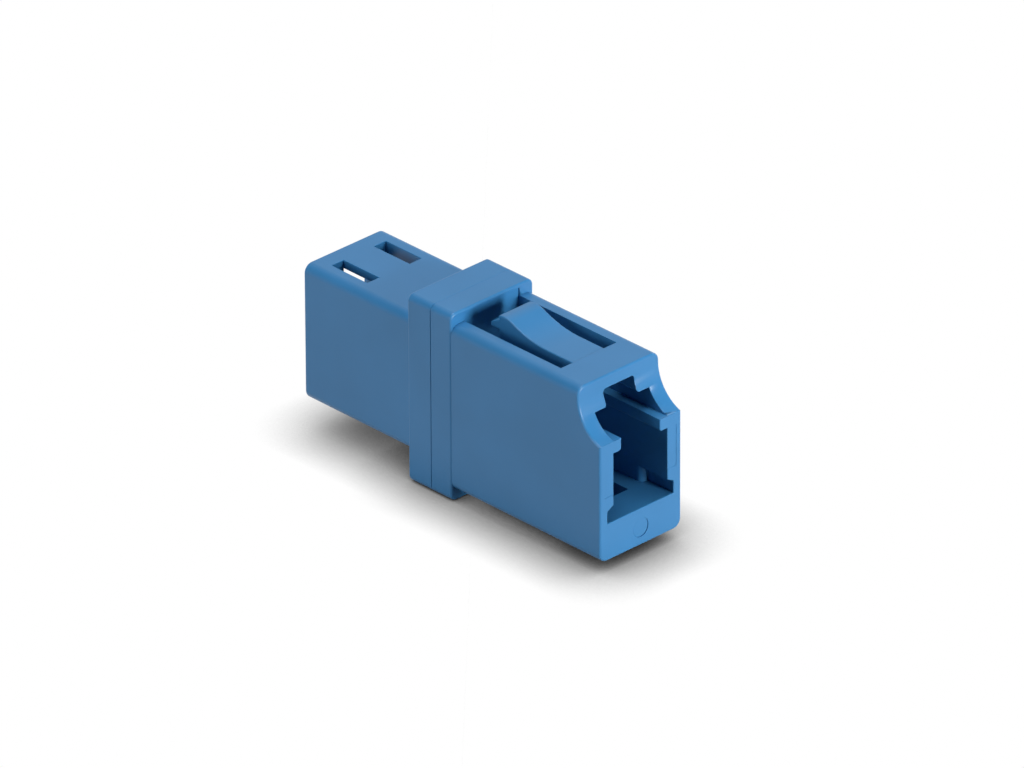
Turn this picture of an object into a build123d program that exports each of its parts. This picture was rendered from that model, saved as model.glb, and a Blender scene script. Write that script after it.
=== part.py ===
from build123d import *
import math
import os

# Adapter that joins two small square fibre plugs end to end, snapped into a panel by two levers.
# Two moulded halves meet at a seam in the flange and trap a slit ceramic sleeve between them.
# Millimetres. X runs across, Y along the fibre from the long front port to the short rear port, Z up.
# The origin is the middle of the sleeve's bore, where the two fibres touch.

os.makedirs("parts", exist_ok=True)

# Way in for the plug's square body, the same in both ports
opening_width = 4.6
opening_height = 4.7

# Above the plug's body: a neck between two rails, a wide channel for the ears of the plug's latch,
# and a narrow channel for the middle of that latch
neck_width = 3.3
rail_height = 0.84
ear_channel_height = 1.39
latch_channel_width = 2.6
front_latch_channel_height = 1.11
rear_latch_channel_height = 0.7
rail_round = 0.18
latch_channel_round = 0.2

# From the middle of the sleeve to the wall that the ears lock behind, and from there to each mouth
lock_reach = 10.18
front_lip = 4.55
rear_lip = 1.32
window_length = 3.18

# Relief pockets in the bottom corners of each mouth
pocket_side = 0.52
pocket_height = 0.83
pocket_slope = 0.28
pocket_depth = 2.25
pocket_round = 0.42

# Walls
side_wall = 1.17
front_roof = 0.86
front_floor = 2.57
rear_roof = 0.57
rear_floor = 1.26
mid_wall = 1.2

# Flange: its front half seats on the panel, and the seam stands a little behind the sleeve's middle
seam_offset = 0.11
flange_front = 1.8
flange_rear = 2.05
flange_rise = 0.8
flange_side = 0.05
flange_corner = 0.45
seat_recess_depth = 0.1
seat_recess_rise = 0.55

# Rounds and bevels of the outer edges
long_round = 0.62
end_round = 0.15
seam_bevel = 0.03
mouth_round = 0.07
rim_round = 0.05

# Nose of the front half: the brow above the port stands back behind a scoop
brow_setback = 1.94
brow_height = 0.69

# Snap levers, one in the roof and one in the underside, that hold the panel against the flange
lever_width = 2.7
lever_slot = 1.0
lever_rise = 0.82
lever_step = 0.03
lever_round = 0.08
dish_radius = 7.5
crest_radius = 1.6
crest_tail = 0.45
catch_gap = 2.04
catch_height = 0.28
tongue_length = 0.72
tongue_height = 0.1
tongue_depth = 0.2

# Relief behind the lower lever, and the slot that opens it into the port's floor
floor_skin = 0.6
floor_slot_width = 2.3
floor_slot_start = 2.28

# Ejector pin's mark in the near face, below the port
ejector_radius = 0.65
ejector_depth = 0.06
ejector_below_floor = 1.33

# Witness of the mould's inserts in the near face, a faint sunk panel on each lip
witness_width = 0.75
witness_bottom = -0.5
witness_depth = 0.02

# Slit ceramic sleeve that lines up the two ferrules
sleeve_bore = 1.246
sleeve_wall = 0.187
sleeve_length = 6.8
sleeve_slit = 0.3
sleeve_bevel = 0.06

# Sleeve holder, a tube on each half's middle wall
sleeve_side_gap = 0.09
sleeve_end_gap = 0.1
holder_wall = 0.5
holder_lip = 0.4
holder_bevel = 0.2
ferrule_gap = 0.1
funnel_flare = 0.2

# Pegs on the front half that enter the rear half at the seam
peg_radius = 0.5
peg_length = 0.8
peg_spread = 1.9
peg_side_gap = 0.03
peg_end_gap = 0.15

# Levels above the fibre's axis
floor_z = -opening_height / 2
rail_z = opening_height / 2
ear_z = rail_z + rail_height
ear_top_z = ear_z + ear_channel_height
front_latch_z = ear_top_z + front_latch_channel_height
rear_latch_z = ear_top_z + rear_latch_channel_height
front_top_z = front_latch_z + front_roof
front_bottom_z = floor_z - front_floor
rear_top_z = rear_latch_z + rear_roof
rear_bottom_z = floor_z - rear_floor
flange_top_z = front_top_z + flange_rise
flange_bottom_z = front_bottom_z - flange_rise
relief_z = front_bottom_z + front_roof
relief_top_z = floor_z - floor_skin
middle_z = (front_top_z + front_bottom_z) / 2

# Stations along the fibre's axis
near_y = -lock_reach - front_lip
brow_y = near_y + brow_setback
rear_y = lock_reach + rear_lip
seam_y = seam_offset
seat_y = seam_y - flange_front
flange_rear_y = seam_y + flange_rear
catch_y = seat_y - catch_gap
holder_reach = sleeve_length / 2 + sleeve_end_gap + holder_lip

# Sizes that follow from those above
body_width = opening_width + 2 * side_wall
flange_width = body_width + 2 * flange_side
flange_height = flange_top_z - flange_bottom_z
lever_opening = lever_width + 2 * lever_slot
sleeve_radius = sleeve_bore / 2 + sleeve_wall
holder_bore = sleeve_radius + sleeve_side_gap
holder_radius = holder_bore + holder_wall
ferrule_way = sleeve_bore / 2 + ferrule_gap
upper_peg = (-peg_spread, (front_latch_z + flange_top_z) / 2)
lower_peg = (peg_spread, (flange_bottom_z + relief_z) / 2)


def across(y):
    """Plane across the fibre at station y, drawn in X and Z, with its normal towards the front port."""
    return Plane.XZ.offset(-y)


def mouth_edges(half, mouth_y, top_z):
    """Edges round a port's mouth, in the end face, up to a level."""
    reach = opening_width / 2 + pocket_side
    edges = half.edges().filter_by_position(Axis.Y, mouth_y - mouth_round, mouth_y + mouth_round)
    edges = edges.filter_by_position(Axis.X, -reach, reach).filter_by_position(Axis.Z, floor_z, top_z)
    return edges - edges.filter_by(Axis.Y)


def port_section(y, latch_channel_height):
    """Outline of a port: square way in, neck between rounded rails, ear channel and latch channel."""
    from_below = (Align.CENTER, Align.MIN)
    between = (neck_width + opening_width) / 4
    with BuildSketch(across(y)) as section:
        Rectangle(opening_width, opening_height)
        with Locations((0, rail_z)):
            Rectangle(neck_width, rail_height, align=from_below)
        with Locations((0, ear_z)):
            Rectangle(opening_width, ear_channel_height, align=from_below)
        with Locations((0, ear_top_z)):
            Rectangle(latch_channel_width, latch_channel_height, align=from_below)
        levels = section.vertices().filter_by_position(Axis.X, -between, between).group_by(Axis.Y)
        under_rails, under_latch = levels[0], levels[2]
        fillet(under_rails + under_latch, rail_round)
    return section.sketch


def corner_pockets(mouth_y, inward):
    """Pockets in a mouth's bottom corners, bevelled above, with rounded ends. inward is +1 or -1 along Y."""
    half = opening_width / 2
    end_y = mouth_y + inward * pocket_depth
    deepest_y = end_y + inward * pocket_round
    with BuildPart(mode=Mode.PRIVATE) as pockets:
        with BuildSketch(across(mouth_y)):
            with BuildLine():
                Polyline(
                    (0, floor_z),
                    (half + pocket_side, floor_z),
                    (half + pocket_side, floor_z + pocket_height),
                    (half, floor_z + pocket_height + pocket_slope),
                    (0, floor_z + pocket_height + pocket_slope),
                    close=True,
                )
            make_face()
        extrude(amount=-inward * (pocket_depth + pocket_round))
        with BuildSketch(Plane.XY.offset(floor_z)):
            with BuildLine():
                Polyline((half, deepest_y), (0, deepest_y), (0, mouth_y), (half + pocket_side, mouth_y))
                Line((half + pocket_side, mouth_y), (half + pocket_side, end_y))
                Line((half + pocket_side, end_y), (half + pocket_round, end_y))
                TangentArc((half, deepest_y), (half + pocket_round, end_y), tangent=(0, -inward))
            make_face()
        extrude(amount=pocket_height + pocket_slope, mode=Mode.INTERSECT)
        mirror(about=Plane.YZ)
    return pockets.part


def snap_lever():
    """Upper snap lever: root, dished thumb face with rounded edges, crest, catch, and a sloped tongue."""
    root_z = front_top_z - lever_step
    turn = math.acos(1 - (lever_rise + lever_step) / (dish_radius + crest_radius))
    tail_turn = math.asin(crest_tail / crest_radius)
    crest_y = catch_y - crest_tail
    crest_z = front_top_z + lever_rise
    step_y = crest_y - crest_radius * math.sin(turn)
    step_z = crest_z - crest_radius * (1 - math.cos(turn))
    dish_y = step_y - dish_radius * math.sin(turn)
    edge_z = crest_z - crest_radius * (1 - math.cos(tail_turn))
    tongue_y = catch_y + tongue_length
    with BuildPart(mode=Mode.PRIVATE) as lever:
        with BuildSketch(Plane.YZ):
            with BuildLine():
                TangentArc((dish_y, root_z), (step_y, step_z), tangent=(1, 0))
                TangentArc((step_y, step_z), (catch_y, edge_z), tangent=(math.cos(turn), math.sin(turn)))
                Polyline(
                    (catch_y, edge_z),
                    (catch_y, edge_z - catch_height),
                    (tongue_y, front_top_z + tongue_height),
                    (tongue_y, front_top_z - tongue_depth),
                    (catch_y, front_top_z - tongue_depth),
                    (catch_y, front_latch_z),
                    (-lock_reach, front_latch_z),
                    (-lock_reach, root_z),
                    (dish_y, root_z),
                )
            make_face()
        extrude(amount=lever_width / 2, both=True)
        edges = lever.edges() - lever.edges().filter_by(Axis.X) - lever.edges().filter_by(Axis.Z)
        edges = edges.filter_by_position(Axis.Z, root_z, crest_z)
        fillet(edges.filter_by_position(Axis.Y, -lock_reach, catch_y), lever_round)
    return lever.part


def holder_section(side):
    """Half section of a sleeve holder, seam to bevelled tip. side is -1 in front of the seam, +1 behind."""
    with BuildSketch(Plane.YZ) as section:
        with BuildLine():
            Polyline((seam_y, 0), (seam_y, holder_radius), (side * holder_reach, holder_radius),
                     (side * holder_reach, 0), close=True)
        make_face()
        chamfer(section.vertices().sort_by_distance((0, 0, 0))[-1], holder_bevel)
    return section.sketch


def sleeve_space(side):
    """Half section of the space in a sleeve holder: the sleeve's pocket, and a funnel for the ferrule."""
    tip = side * holder_reach
    pocket_end = side * (holder_reach - holder_lip)
    with BuildSketch(Plane.YZ) as section:
        with BuildLine():
            Polyline(
                (seam_y, 0),
                (seam_y, holder_bore),
                (pocket_end, holder_bore),
                (pocket_end, ferrule_way),
                (tip, ferrule_way + funnel_flare),
                (tip, 0),
                close=True,
            )
        make_face()
    return section.sketch


def flange_half(side, thickness):
    """Half of the flange, rounded outside, finely bevelled at the seam. side is -1 in front, +1 behind."""
    outwards = Axis((0, 0, 0), (0, side, 0))
    with BuildPart(mode=Mode.PRIVATE) as half:
        with BuildSketch(across(seam_y)):
            with Locations((0, middle_z)):
                RectangleRounded(flange_width, flange_height, flange_corner)
        extrude(amount=-side * thickness)
        fillet(half.faces().sort_by(outwards)[-1].edges(), end_round)
        chamfer(half.faces().sort_by(outwards)[0].edges(), seam_bevel)
    return half.part


# Front half: long port, snap levers, and the part of the flange that seats on the panel
with BuildPart() as front_housing:
    with BuildSketch(across(seat_y + end_round)):
        with Locations((0, middle_z)):
            RectangleRounded(body_width, front_top_z - front_bottom_z, long_round)
    extrude(amount=seat_y + end_round - near_y)

    # Scoop below the brow
    scoop_z = front_top_z - brow_height
    with BuildSketch(Plane.YZ):
        with BuildLine():
            TangentArc((brow_y, scoop_z), (near_y, ear_z), tangent=(0, -1))
            Polyline((near_y, ear_z), (near_y, front_top_z), (brow_y, front_top_z), (brow_y, scoop_z))
        make_face()
    extrude(amount=body_width / 2, both=True, mode=Mode.SUBTRACT)
    nose_edges = front_housing.edges().filter_by_position(Axis.Y, near_y - end_round, brow_y + end_round)
    creases = nose_edges.filter_by_position(Axis.Z, ear_z - end_round, scoop_z + end_round).filter_by(Axis.X)
    fillet(nose_edges - creases, end_round)

    # Flange's front half, with the panel's seat facing the front port
    add(flange_half(-1, flange_front))

    # Port, and the pockets in the bottom corners of its mouth
    wall_y = seam_y - mid_wall
    extrude(port_section(wall_y, front_latch_channel_height), amount=wall_y - near_y, mode=Mode.SUBTRACT)
    lengthwise = front_housing.edges().filter_by(Axis.Y)
    at_latch_top = lengthwise.filter_by_position(Axis.Z, front_latch_z - latch_channel_round, scoop_z)
    fillet(at_latch_top.filter_by_position(Axis.X, -neck_width / 2, neck_width / 2), latch_channel_round)
    add(corner_pockets(near_y, 1), mode=Mode.SUBTRACT)

    # Round of the port's mouth, as far as the tops of the rails, where the scoop begins
    fillet(mouth_edges(front_housing, near_y, ear_z - mouth_round / 2), mouth_round)

    # Openings for the levers in the roof and the underside, which end in shallow recesses in the seat
    with BuildSketch(across(-lock_reach)):
        with Locations((0, ear_top_z)):
            opening_top = front_top_z + seat_recess_rise - ear_top_z
            Rectangle(lever_opening, opening_top, align=(Align.CENTER, Align.MIN))
        with Locations((0, relief_top_z)):
            opening_bottom = relief_top_z - front_bottom_z + seat_recess_rise
            Rectangle(lever_opening, opening_bottom, align=(Align.CENTER, Align.MAX))
    extrude(amount=-(lock_reach + seat_y + seat_recess_depth), mode=Mode.SUBTRACT)

    # Relief behind the lower lever, open at the seam, and its slot in the port's floor
    with BuildSketch(across(seam_y)):
        with Locations((0, relief_z)):
            Rectangle(lever_opening, relief_top_z - relief_z, align=(Align.CENTER, Align.MIN))
    extrude(amount=seam_y + lock_reach, mode=Mode.SUBTRACT)
    with BuildSketch(across(seam_y)):
        with Locations((0, relief_z)):
            Rectangle(floor_slot_width, floor_z - relief_z, align=(Align.CENTER, Align.MIN))
    extrude(amount=seam_y - near_y - floor_slot_start, mode=Mode.SUBTRACT)

    # Fine round of the two openings' rims
    rims = front_housing.edges().filter_by_position(Axis.X, -lever_opening / 2, lever_opening / 2)
    levels = rims.filter_by_position(Axis.Y, -lock_reach - rim_round, catch_y).group_by(Axis.Z)
    fillet(levels[0] + levels[-1], rim_round)

    # Upper lever, and the same again below
    add(snap_lever())
    add(mirror(snap_lever(), about=Plane.XY.offset(middle_z), mode=Mode.PRIVATE))

    # Sleeve holder, and the sleeve's space through it and the middle wall
    revolve(holder_section(-1), axis=Axis.Y)
    revolve(sleeve_space(-1), axis=Axis.Y, mode=Mode.SUBTRACT)

    # Pegs that enter the rear half
    with BuildSketch(across(seam_y)):
        with Locations(upper_peg, lower_peg):
            Circle(peg_radius)
    extrude(amount=-peg_length)

    # Witness panels of the mould's inserts on the lips
    with BuildSketch(across(near_y)):
        with Locations((-opening_width / 2, witness_bottom), (opening_width / 2, witness_bottom)):
            Rectangle(2 * witness_width, rail_z - witness_bottom, align=(Align.CENTER, Align.MIN))
    extrude(amount=-witness_depth, mode=Mode.SUBTRACT)

    # Ejector pin's mark
    with BuildSketch(across(near_y)):
        with Locations((0, floor_z - ejector_below_floor)):
            Circle(ejector_radius)
    extrude(amount=-ejector_depth, mode=Mode.SUBTRACT)

front_housing.part.label = "front_housing"
export_step(front_housing.part, "parts/front_housing.step")

# Rear half: short port with two windows in its roof, and the flange's back
with BuildPart() as rear_housing:
    with BuildSketch(across(flange_rear_y - end_round)):
        with Locations((0, (rear_top_z + rear_bottom_z) / 2)):
            RectangleRounded(body_width, rear_top_z - rear_bottom_z, long_round)
    extrude(amount=-(rear_y - flange_rear_y + end_round))
    fillet(rear_housing.faces().sort_by(Axis.Y)[-1].edges(), end_round)

    # Flange's rear half
    add(flange_half(1, flange_rear))

    # Port, and the pockets in the bottom corners of its mouth
    rear_port = port_section(rear_y, rear_latch_channel_height)
    extrude(rear_port, amount=rear_y - seam_y - mid_wall, mode=Mode.SUBTRACT)
    add(corner_pockets(rear_y, -1), mode=Mode.SUBTRACT)
    fillet(mouth_edges(rear_housing, rear_y, rear_latch_z), mouth_round)

    # Windows that the ears of the plug's latch spring up into
    window_width = (opening_width - latch_channel_width) / 2
    window_x = (opening_width + latch_channel_width) / 4
    with BuildSketch(Plane.XY.offset(rear_top_z)):
        with Locations((-window_x, lock_reach), (window_x, lock_reach)):
            Rectangle(window_width, window_length, align=(Align.CENTER, Align.MAX))
    extrude(amount=-(rear_top_z - ear_top_z), mode=Mode.SUBTRACT)
    roof = rear_housing.faces().filter_by(Axis.Z).filter_by_position(Axis.Z, rear_latch_z, front_top_z)
    fillet(roof.sort_by(Axis.Z)[-1].inner_wires().edges(), rim_round)

    # Sleeve holder, and the sleeve's space through it and the middle wall
    revolve(holder_section(1), axis=Axis.Y)
    revolve(sleeve_space(1), axis=Axis.Y, mode=Mode.SUBTRACT)

    # Holes for the front half's pegs
    with BuildSketch(across(seam_y)):
        with Locations(upper_peg, lower_peg):
            Circle(peg_radius + peg_side_gap)
    extrude(amount=-(peg_length + peg_end_gap), mode=Mode.SUBTRACT)

rear_housing.part.label = "rear_housing"
export_step(rear_housing.part, "parts/rear_housing.step")

# Ceramic sleeve, slit along its top so that it grips both ferrules
with BuildPart() as split_sleeve:
    with BuildSketch(Plane.XZ):
        Circle(sleeve_radius)
        Circle(sleeve_bore / 2, mode=Mode.SUBTRACT)
    extrude(amount=sleeve_length / 2, both=True)
    chamfer(split_sleeve.edges().filter_by(GeomType.CIRCLE), sleeve_bevel)
    with BuildSketch(Plane.XY):
        Rectangle(sleeve_slit, sleeve_length)
    extrude(amount=sleeve_radius, mode=Mode.SUBTRACT)

split_sleeve.part.label = "split_sleeve"
export_step(split_sleeve.part, "parts/split_sleeve.step")
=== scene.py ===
import bmesh
import bpy
import math
from mathutils import Matrix, Vector
from mathutils.geometry import intersect_point_line


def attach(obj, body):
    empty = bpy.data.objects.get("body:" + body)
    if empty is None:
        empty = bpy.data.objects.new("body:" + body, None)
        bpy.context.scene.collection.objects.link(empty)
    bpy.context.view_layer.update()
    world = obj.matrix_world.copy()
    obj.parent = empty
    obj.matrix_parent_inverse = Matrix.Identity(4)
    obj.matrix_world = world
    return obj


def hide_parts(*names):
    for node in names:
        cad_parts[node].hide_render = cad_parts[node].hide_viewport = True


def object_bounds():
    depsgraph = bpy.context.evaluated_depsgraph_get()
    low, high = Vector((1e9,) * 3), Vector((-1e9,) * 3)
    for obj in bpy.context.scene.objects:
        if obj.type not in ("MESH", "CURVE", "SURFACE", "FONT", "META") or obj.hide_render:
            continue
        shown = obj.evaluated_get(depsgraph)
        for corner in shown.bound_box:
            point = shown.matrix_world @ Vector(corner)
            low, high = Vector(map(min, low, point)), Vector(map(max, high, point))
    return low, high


# LC fibre adapter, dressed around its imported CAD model. Metres, in the CAD frame: X across,
# Y along the fibre towards the short rear port, Z up, origin in the middle of the ceramic sleeve.
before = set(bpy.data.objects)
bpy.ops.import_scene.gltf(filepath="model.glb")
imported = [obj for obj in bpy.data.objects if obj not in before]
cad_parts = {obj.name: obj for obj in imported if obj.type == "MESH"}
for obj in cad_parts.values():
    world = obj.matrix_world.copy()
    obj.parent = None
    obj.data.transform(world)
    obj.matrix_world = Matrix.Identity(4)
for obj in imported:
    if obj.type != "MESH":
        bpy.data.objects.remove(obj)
cad_low, cad_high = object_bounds()

# The two moulded halves
# Injection-moulded in blue PBT in a mould with a fine spark-eroded grain, then welded together at
# the seam in the flange. Their outer edges have a fine round that catches the light.
PLASTIC_BLUE = "#3376aa"
PLASTIC_DARK = "#3071a3"
PLASTIC_ROUGHNESS = 0.34
PLASTIC_IOR = 1.55
PLASTIC_SPECULAR = 0.32
FLOW_MM = 5.0
FLOW_DARKEST = 0.3
FLOW_LIGHTEST = 0.7
# The real grain is about 0.03 mm wide, too fine to show, so it is drawn twice as coarse.
GRAIN_MM = 0.06
GRAIN_DEPTH_MM = 0.0015
GRAIN_STRENGTH = 0.6
EDGE_ROUND = 0.00005
ROUND_SEGMENTS = 2
ROOM_FOR_ROUND = 2.1 * EDGE_ROUND
ROOM_TRIED_AT = (0.15, 0.5, 0.85)
SHARP_EDGE = math.radians(28)
FLAT_JOIN = math.radians(0.5)
FOLDED = math.radians(150)
WELD = 1e-7
# The seam's groove and the ejector pin's mark: where the solids have them, and what is changed.
SAME_PLACE = 2e-6
SEAM_Y = 0.00011
SEAM_TOP = 0.00732
SEAM_SIDE = 0.00349
SEAM_FILLED = 0.000024
SEAM_OPENED = 0.00005
MARK_Y = -0.01467
MARK_CORNERS = 16
MARK_GROOVE = 0.00006
MARK_RISE = 0.00005


def linear(hex_colour):
    """Scene-linear RGBA of an sRGB hex colour."""
    channels = [int(hex_colour[i:i + 2], 16) / 255 for i in (1, 3, 5)]
    return [c / 12.92 if c <= 0.04045 else ((c + 0.055) / 1.055) ** 2.4 for c in channels] + [1.0]


def add_node(tree, kind, settings=None, inputs=None, links=None):
    """Adds a node with its settings, its sockets' values, and links to its sockets."""
    node = tree.nodes.new(kind)
    for name, value in (settings or {}).items():
        setattr(node, name, value)
    for name, value in (inputs or {}).items():
        node.inputs[name].default_value = value
    for name, source in (links or {}).items():
        tree.links.new(source, node.inputs[name])
    return node


def moulded_pbt():
    """Satin PBT: even blue with soft highlights, a faint drift of shade where the melt flowed, and
    a fine grain that takes the hard shine off."""
    material = bpy.data.materials.new("moulded_pbt_blue")
    material.use_nodes = True
    tree = material.node_tree
    tree.nodes.clear()
    place = add_node(tree, "ShaderNodeTexCoord")
    flow = add_node(tree, "ShaderNodeTexNoise",
                    inputs={"Scale": 1000 / FLOW_MM, "Detail": 2.0, "Roughness": 0.5},
                    links={"Vector": place.outputs["Object"]})
    shade = add_node(tree, "ShaderNodeValToRGB", links={"Fac": flow.outputs["Fac"]})
    shade.color_ramp.elements[0].position = FLOW_DARKEST
    shade.color_ramp.elements[0].color = linear(PLASTIC_DARK)
    shade.color_ramp.elements[1].position = FLOW_LIGHTEST
    shade.color_ramp.elements[1].color = linear(PLASTIC_BLUE)
    grain = add_node(tree, "ShaderNodeTexNoise",
                     inputs={"Scale": 1000 / GRAIN_MM, "Detail": 3.0, "Roughness": 0.6},
                     links={"Vector": place.outputs["Object"]})
    bump = add_node(tree, "ShaderNodeBump",
                    inputs={"Strength": GRAIN_STRENGTH, "Distance": GRAIN_DEPTH_MM / 1000},
                    links={"Height": grain.outputs["Fac"]})
    shader = add_node(tree, "ShaderNodeBsdfPrincipled",
                      inputs={"Roughness": PLASTIC_ROUGHNESS, "IOR": PLASTIC_IOR,
                              "Specular IOR Level": PLASTIC_SPECULAR},
                      links={"Base Color": shade.outputs["Color"],
                             "Normal": bump.outputs["Normal"]})
    add_node(tree, "ShaderNodeOutputMaterial", links={"Surface": shader.outputs["BSDF"]})
    return material


def close_seam(bm):
    """The weld has nearly filled the seam's groove on top, and left it open on the two sides."""
    for vert in bm.verts:
        if abs(vert.co.y - SEAM_Y) < SAME_PLACE:
            if abs(vert.co.z - SEAM_TOP) < SAME_PLACE:
                vert.co.z += SEAM_FILLED
            elif abs(abs(vert.co.x) - SEAM_SIDE) < SAME_PLACE:
                vert.co.x -= math.copysign(SEAM_OPENED, vert.co.x)


def ring_mark(bm):
    """The ejector pin stood nearly flush, so its mark is a disc with a fine groove round it."""
    for face in list(bm.faces):
        height = face.calc_center_median().y
        if abs(height - MARK_Y) < SAME_PLACE and len(face.verts) > MARK_CORNERS:
            bmesh.ops.inset_region(bm, faces=[face], thickness=MARK_GROOVE)
            for vert in face.verts:
                vert.co.y -= MARK_RISE


def room_beside(edge, face):
    """Least width of a face beside one of its edges."""
    start, end = (vert.co for vert in edge.verts)
    along = (end - start).normalized()
    inward = face.normal.cross(along)
    if inward.dot(face.calc_center_median() - start) < 0:
        inward.negate()
    least = float("inf")
    for share in ROOM_TRIED_AT:
        point = start.lerp(end, share)
        for other in face.edges:
            if other == edge:
                continue
            offsets = [vert.co - point for vert in other.verts]
            (low_x, low_y), (high_x, high_y) = sorted((o.dot(along), o.dot(inward)) for o in offsets)
            if low_x <= 0 <= high_x and high_x > low_x:
                depth = low_y + (high_y - low_y) * -low_x / (high_x - low_x)
                if depth > WELD:
                    least = min(least, depth)
    return least


def edges_to_round(bm):
    """Numbers of the outer edges with room for a round. The other corners are made crisp."""
    chosen = set()
    for edge in bm.edges:
        if len(edge.link_faces) != 2 or edge.calc_face_angle() < SHARP_EDGE:
            continue
        roomy = min(room_beside(edge, face) for face in edge.link_faces) > ROOM_FOR_ROUND
        if edge.is_convex and roomy and edge.calc_length() > ROOM_FOR_ROUND:
            chosen.add(edge.index)
        else:
            edge.smooth = False
    return chosen


def folds(bm):
    """Middles of the edges where two faces are folded back on each other."""
    return [(edge.verts[0].co + edge.verts[1].co) / 2 for edge in bm.edges
            if len(edge.link_faces) == 2 and edge.calc_face_angle() > FOLDED]


def distance_to(edge, spot):
    """Distance from a spot to the nearest point of an edge."""
    start, end = (vert.co for vert in edge.verts)
    share = intersect_point_line(spot, start, end)[1]
    return (start.lerp(end, min(max(share, 0.0), 1.0)) - spot).length


def rounded(bm):
    """Copy of a moulding with a fine round on each edge that takes one without a fold or a bulge."""
    chosen = edges_to_round(bm)
    as_moulded = folds(bm)
    low = [min(vert.co[i] for vert in bm.verts) - WELD for i in range(3)]
    high = [max(vert.co[i] for vert in bm.verts) + WELD for i in range(3)]
    while True:
        trial = bm.copy()
        trial.edges.ensure_lookup_table()
        bmesh.ops.bevel(trial, geom=[trial.edges[i] for i in chosen], offset=EDGE_ROUND,
                        offset_type="OFFSET", segments=ROUND_SEGMENTS, profile=0.5,
                        affect="EDGES", clamp_overlap=False)
        faults = [spot for spot in folds(trial)
                  if all((spot - old).length > EDGE_ROUND for old in as_moulded)]
        faults += [vert.co.copy() for vert in trial.verts
                   if any(not low[i] <= vert.co[i] <= high[i] for i in range(3))]
        spoiled = {i for i in chosen
                   if any(distance_to(bm.edges[i], spot) < ROOM_FOR_ROUND for spot in faults)}
        if not spoiled:
            return trial
        trial.free()
        for i in spoiled:
            bm.edges[i].smooth = False
        chosen -= spoiled


pbt = moulded_pbt()

for node_name in ("front_housing", "rear_housing"):
    moulding = bpy.data.meshes.new(node_name + "_moulded")
    bm = bmesh.new()
    bm.from_mesh(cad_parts[node_name].data)
    bmesh.ops.remove_doubles(bm, verts=bm.verts, dist=WELD)
    bmesh.ops.dissolve_limit(bm, angle_limit=FLAT_JOIN, verts=bm.verts, edges=bm.edges)
    close_seam(bm)
    ring_mark(bm)
    for face in bm.faces:
        face.smooth = True
    bm.edges.index_update()
    bm.edges.ensure_lookup_table()
    finished = rounded(bm)
    finished.to_mesh(moulding)
    finished.free()
    bm.free()
    moulding.materials.append(pbt)
    half = bpy.data.objects.new(node_name + "_moulded", moulding)
    bpy.context.scene.collection.objects.link(half)
    shading = half.modifiers.new("even shading", "WEIGHTED_NORMAL")
    shading.keep_sharp = True
    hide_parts(node_name)
    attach(half, "root")

# Split sleeve
# Slit tube of zirconia that lines up the two ferrules. It is pressed, fired, ground and polished,
# and lies loose in the holder between the two halves, with its slit on top.
ZIRCONIA_WHITE = "#e9e6dc"
ZIRCONIA_SHADE = "#dedacd"
ZIRCONIA_ROUGHNESS = 0.18
ZIRCONIA_IOR = 2.1
CLOUD_MM = 1.1
SLEEVE_BORE_RADIUS = 0.000623
SLEEVE_WALL = 0.000187
SLEEVE_LENGTH = 0.0068
SLEEVE_SLIT = 0.0003
SLEEVE_EDGE_ROUND = 0.00005
ARC_POINTS = 73
CORNER_POINTS = 3


def polished_zirconia():
    """Polished zirconia: dense off-white ceramic with small sharp highlights and a trace of
    cloudiness."""
    material = bpy.data.materials.new("polished_zirconia")
    material.use_nodes = True
    tree = material.node_tree
    tree.nodes.clear()
    place = add_node(tree, "ShaderNodeTexCoord")
    cloud = add_node(tree, "ShaderNodeTexNoise", inputs={"Scale": 1000 / CLOUD_MM, "Detail": 2.0},
                     links={"Vector": place.outputs["Object"]})
    tint = add_node(tree, "ShaderNodeValToRGB", links={"Fac": cloud.outputs["Fac"]})
    tint.color_ramp.elements[0].color = linear(ZIRCONIA_SHADE)
    tint.color_ramp.elements[1].color = linear(ZIRCONIA_WHITE)
    shader = add_node(tree, "ShaderNodeBsdfPrincipled",
                      inputs={"Roughness": ZIRCONIA_ROUGHNESS, "IOR": ZIRCONIA_IOR},
                      links={"Base Color": tint.outputs["Color"]})
    add_node(tree, "ShaderNodeOutputMaterial", links={"Surface": shader.outputs["BSDF"]})
    return material


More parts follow.
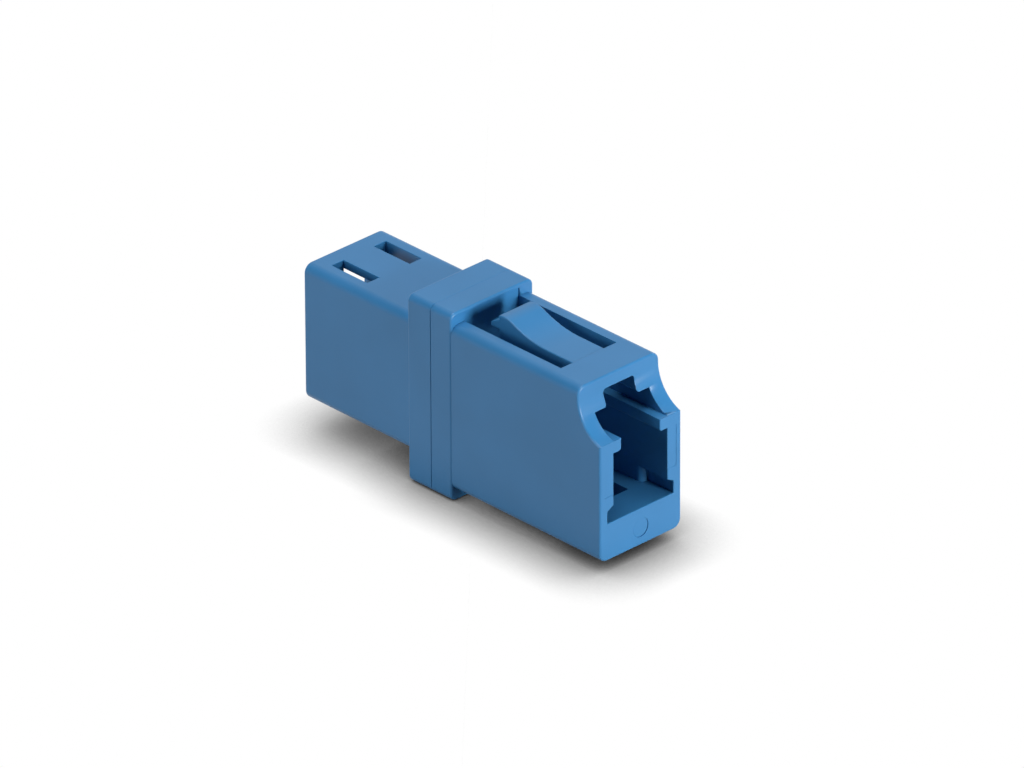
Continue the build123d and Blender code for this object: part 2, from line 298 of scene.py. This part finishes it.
def slit_tube():
    """Node tree that sweeps the wall's rounded section along an arc, which leaves the slit open."""
    tree = bpy.data.node_groups.new("slit_tube", "GeometryNodeTree")
    for name in ("Bore Radius", "Wall", "Length", "Slit", "Edge Round"):
        tree.interface.new_socket(name, in_out="INPUT", socket_type="NodeSocketFloat")
    tree.interface.new_socket("Material", in_out="INPUT", socket_type="NodeSocketMaterial")
    tree.interface.new_socket("Geometry", in_out="OUTPUT", socket_type="NodeSocketGeometry")
    sizes = add_node(tree, "NodeGroupInput")
    half_wall = add_node(tree, "ShaderNodeMath", {"operation": "MULTIPLY"}, {1: 0.5},
                         {0: sizes.outputs["Wall"]})
    middle = add_node(tree, "ShaderNodeMath", {"operation": "ADD"},
                      links={0: sizes.outputs["Bore Radius"], 1: half_wall.outputs[0]})
    opening = add_node(tree, "ShaderNodeMath", {"operation": "DIVIDE"},
                       links={0: sizes.outputs["Slit"], 1: middle.outputs[0]})
    half_opening = add_node(tree, "ShaderNodeMath", {"operation": "MULTIPLY"}, {1: 0.5},
                            {0: opening.outputs[0]})
    start = add_node(tree, "ShaderNodeMath", {"operation": "ADD"}, {1: math.pi / 2},
                     {0: half_opening.outputs[0]})
    sweep = add_node(tree, "ShaderNodeMath", {"operation": "SUBTRACT"}, {0: 2 * math.pi},
                     {1: opening.outputs[0]})
    arc = add_node(tree, "GeometryNodeCurveArc", {"mode": "RADIUS"}, {"Resolution": ARC_POINTS},
                   {"Radius": middle.outputs[0], "Start Angle": start.outputs[0],
                    "Sweep Angle": sweep.outputs[0]})
    section = add_node(tree, "GeometryNodeCurvePrimitiveQuadrilateral", {"mode": "RECTANGLE"},
                       links={"Width": sizes.outputs["Wall"], "Height": sizes.outputs["Length"]})
    eased = add_node(tree, "GeometryNodeFilletCurve", {"mode": "POLY"}, {"Count": CORNER_POINTS},
                     {"Curve": section.outputs["Curve"], "Radius": sizes.outputs["Edge Round"]})
    tube = add_node(tree, "GeometryNodeCurveToMesh", inputs={"Fill Caps": True},
                    links={"Curve": arc.outputs["Curve"], "Profile Curve": eased.outputs["Curve"]})
    turned = add_node(tree, "GeometryNodeTransform", inputs={"Rotation": (math.pi / 2, 0, 0)},
                      links={"Geometry": tube.outputs["Mesh"]})
    real = add_node(tree, "GeometryNodeRealizeInstances",
                    links={"Geometry": turned.outputs["Geometry"]})
    finish = add_node(tree, "GeometryNodeSetMaterial",
                      links={"Geometry": real.outputs["Geometry"],
                             "Material": sizes.outputs["Material"]})
    add_node(tree, "NodeGroupOutput", links={"Geometry": finish.outputs["Geometry"]})
    return tree


seed = bpy.data.objects.new("sleeve_seed", bpy.data.meshes.new("sleeve_seed"))
bpy.context.scene.collection.objects.link(seed)
maker = seed.modifiers.new("slit tube", "NODES")
maker.node_group = slit_tube()
sleeve_inputs = {"Bore Radius": SLEEVE_BORE_RADIUS, "Wall": SLEEVE_WALL, "Length": SLEEVE_LENGTH,
                 "Slit": SLEEVE_SLIT, "Edge Round": SLEEVE_EDGE_ROUND,
                 "Material": polished_zirconia()}
for item in maker.node_group.interface.items_tree:
    if item.item_type == "SOCKET" and item.in_out == "INPUT":
        maker[item.identifier] = sleeve_inputs[item.name]
made = bpy.data.meshes.new_from_object(seed.evaluated_get(bpy.context.evaluated_depsgraph_get()))
bpy.data.objects.remove(seed)
bm = bmesh.new()
bm.from_mesh(made)
bmesh.ops.remove_doubles(bm, verts=bm.verts, dist=WELD)
bmesh.ops.recalc_face_normals(bm, faces=bm.faces)
for face in bm.faces:
    face.smooth = True
bm.to_mesh(made)
bm.free()
made.set_sharp_from_angle(angle=SHARP_EDGE)
sleeve = bpy.data.objects.new("ground_sleeve", made)
bpy.context.scene.collection.objects.link(sleeve)
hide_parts("split_sleeve")
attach(sleeve, "root")

# Table top and lights
# White paper on a table, with a tall narrow soft box in front, a square one overhead and weaker
# ones on the other sides. The camera and the plastic's gloss see the paper as white, with a
# painted shadow round the adapter's foot, darker where the adapter hides more of the paper's sky.
PAPER_WHITE = "#ffffff"
PAPER_BOUNCE = "#9a9a9a"
SHADOW_REACH = 0.0042
SHADOW_DEPTH = 1.9
SHADOW_SAMPLES = 8
FLOOR_SIZE = 2.0
AMBIENT = 0.01
BOX_DISTANCE = 0.5
# Name, direction that it stands in, width and height in metres, and power in watts
SOFT_BOXES = (
    ("front_light", (0.17, -1, 0.06), 0.14, 0.3, 5.1),
    ("overhead_light", (0, 0.12, 1), 0.34, 0.34, 2.0),
    ("left_fill", (-1, 0.25, 0.14), 0.2, 0.4, 1.6),
    ("back_right_sheen", (0.609, 0.633, 0.478), 0.45, 0.45, 0.46),
    ("right_fill", (1, 0.1, 0.12), 0.4, 0.4, 1.0),
    ("back_fill", (-0.05, 1, 0.1), 0.4, 0.4, 0.8),
)


def white_paper_painted_shadow():
    """Matt white paper with a painted shadow: an even white, darkened close to what stands on it by
    how much of the surroundings it hides. It bounces less light than it shows, so that the ports
    stay dark."""
    material = bpy.data.materials.new("white_paper_painted_shadow")
    material.use_nodes = True
    tree = material.node_tree
    tree.nodes.clear()
    bounce = add_node(tree, "ShaderNodeBsdfDiffuse", inputs={"Color": linear(PAPER_BOUNCE)})
    # Painted shadow: ambient occlusion near the adapter darkens the white that the camera and gloss
    # see.
    openness = add_node(tree, "ShaderNodeAmbientOcclusion", {"samples": SHADOW_SAMPLES},
                        {"Distance": SHADOW_REACH})
    light = add_node(tree, "ShaderNodeMath", {"operation": "POWER"}, {1: SHADOW_DEPTH},
                     {0: openness.outputs["AO"]})
    painted_shadow_white = add_node(tree, "ShaderNodeEmission", inputs={"Color": linear(PAPER_WHITE)},
                    links={"Strength": light.outputs[0]})
    path = add_node(tree, "ShaderNodeLightPath")
    direct = add_node(tree, "ShaderNodeMath", {"operation": "MAXIMUM"},
                      links={0: path.outputs["Is Camera Ray"], 1: path.outputs["Is Glossy Ray"]})
    direct = add_node(tree, "ShaderNodeMath", {"operation": "MAXIMUM"},
                      links={0: direct.outputs[0], 1: path.outputs["Is Transmission Ray"]})
    shader = add_node(tree, "ShaderNodeMixShader",
                      links={0: direct.outputs[0], 1: bounce.outputs["BSDF"],
                             2: painted_shadow_white.outputs["Emission"]})
    add_node(tree, "ShaderNodeOutputMaterial", links={"Surface": shader.outputs["Shader"]})
    return material


floor_mesh = bpy.data.meshes.new("floor")
floor_mesh.from_pydata([(x * FLOOR_SIZE, y * FLOOR_SIZE, cad_low[2])
                        for x, y in ((-1, -1), (1, -1), (1, 1), (-1, 1))], [], [(0, 1, 2, 3)])
floor_mesh.materials.append(white_paper_painted_shadow())
floor = bpy.data.objects.new("floor", floor_mesh)
bpy.context.scene.collection.objects.link(floor)

world = bpy.data.worlds.new("studio")
bpy.context.scene.world = world
world.use_nodes = True
world.node_tree.nodes.clear()
surroundings = add_node(world.node_tree, "ShaderNodeBackground",
                        inputs={"Color": (1, 1, 1, 1), "Strength": AMBIENT})
add_node(world.node_tree, "ShaderNodeOutputWorld",
         links={"Surface": surroundings.outputs["Background"]})

for name, stands, width, height, power in SOFT_BOXES:
    lamp = bpy.data.lights.new(name, "AREA")
    lamp.shape = "RECTANGLE"
    lamp.size = width
    lamp.size_y = height
    lamp.energy = power
    soft_box = bpy.data.objects.new(name, lamp)
    direction = Vector(stands).normalized()
    soft_box.location = direction * BOX_DISTANCE
    soft_box.rotation_euler = direction.to_track_quat("Z", "Y").to_euler()
    bpy.context.scene.collection.objects.link(soft_box)

# Camera
# At the photograph's angle, with a long lens from about 0.93 m away. The angles, the distance and
# the lens come from fitting the adapter's corners to the photograph.
AZIMUTH = math.radians(-43.898)
ELEVATION = math.radians(28.531)
ROLL = math.radians(-0.245)
DISTANCE = 0.933115
SHIFT_RIGHT = -0.0011746
SHIFT_UP = -0.0012949
LOOK_AT = Vector((0, -0.00173, -0.00022))
FOCAL_PIXELS = 15153.85
SENSOR_MM = 36.0
IMAGE_WIDTH = 1024
NEAREST_SEEN = 0.01

back = Vector((math.sin(AZIMUTH) * math.cos(ELEVATION), -math.cos(AZIMUTH) * math.cos(ELEVATION),
               math.sin(ELEVATION)))
level = Vector((math.cos(AZIMUTH), math.sin(AZIMUTH), 0))
upright = back.cross(level)
right = math.cos(ROLL) * level + math.sin(ROLL) * upright
up = math.cos(ROLL) * upright - math.sin(ROLL) * level
camera_data = bpy.data.cameras.new("camera")
camera_data.sensor_width = SENSOR_MM
camera_data.lens = FOCAL_PIXELS * SENSOR_MM / IMAGE_WIDTH
camera_data.clip_start = NEAREST_SEEN
camera = bpy.data.objects.new("camera", camera_data)
place = Matrix((right, up, back)).transposed().to_4x4()
place.translation = LOOK_AT + back * DISTANCE - right * SHIFT_RIGHT - up * SHIFT_UP
camera.matrix_world = place
bpy.context.scene.collection.objects.link(camera)
bpy.context.scene.camera = camera
bpy.context.scene.view_settings.view_transform = "Standard"
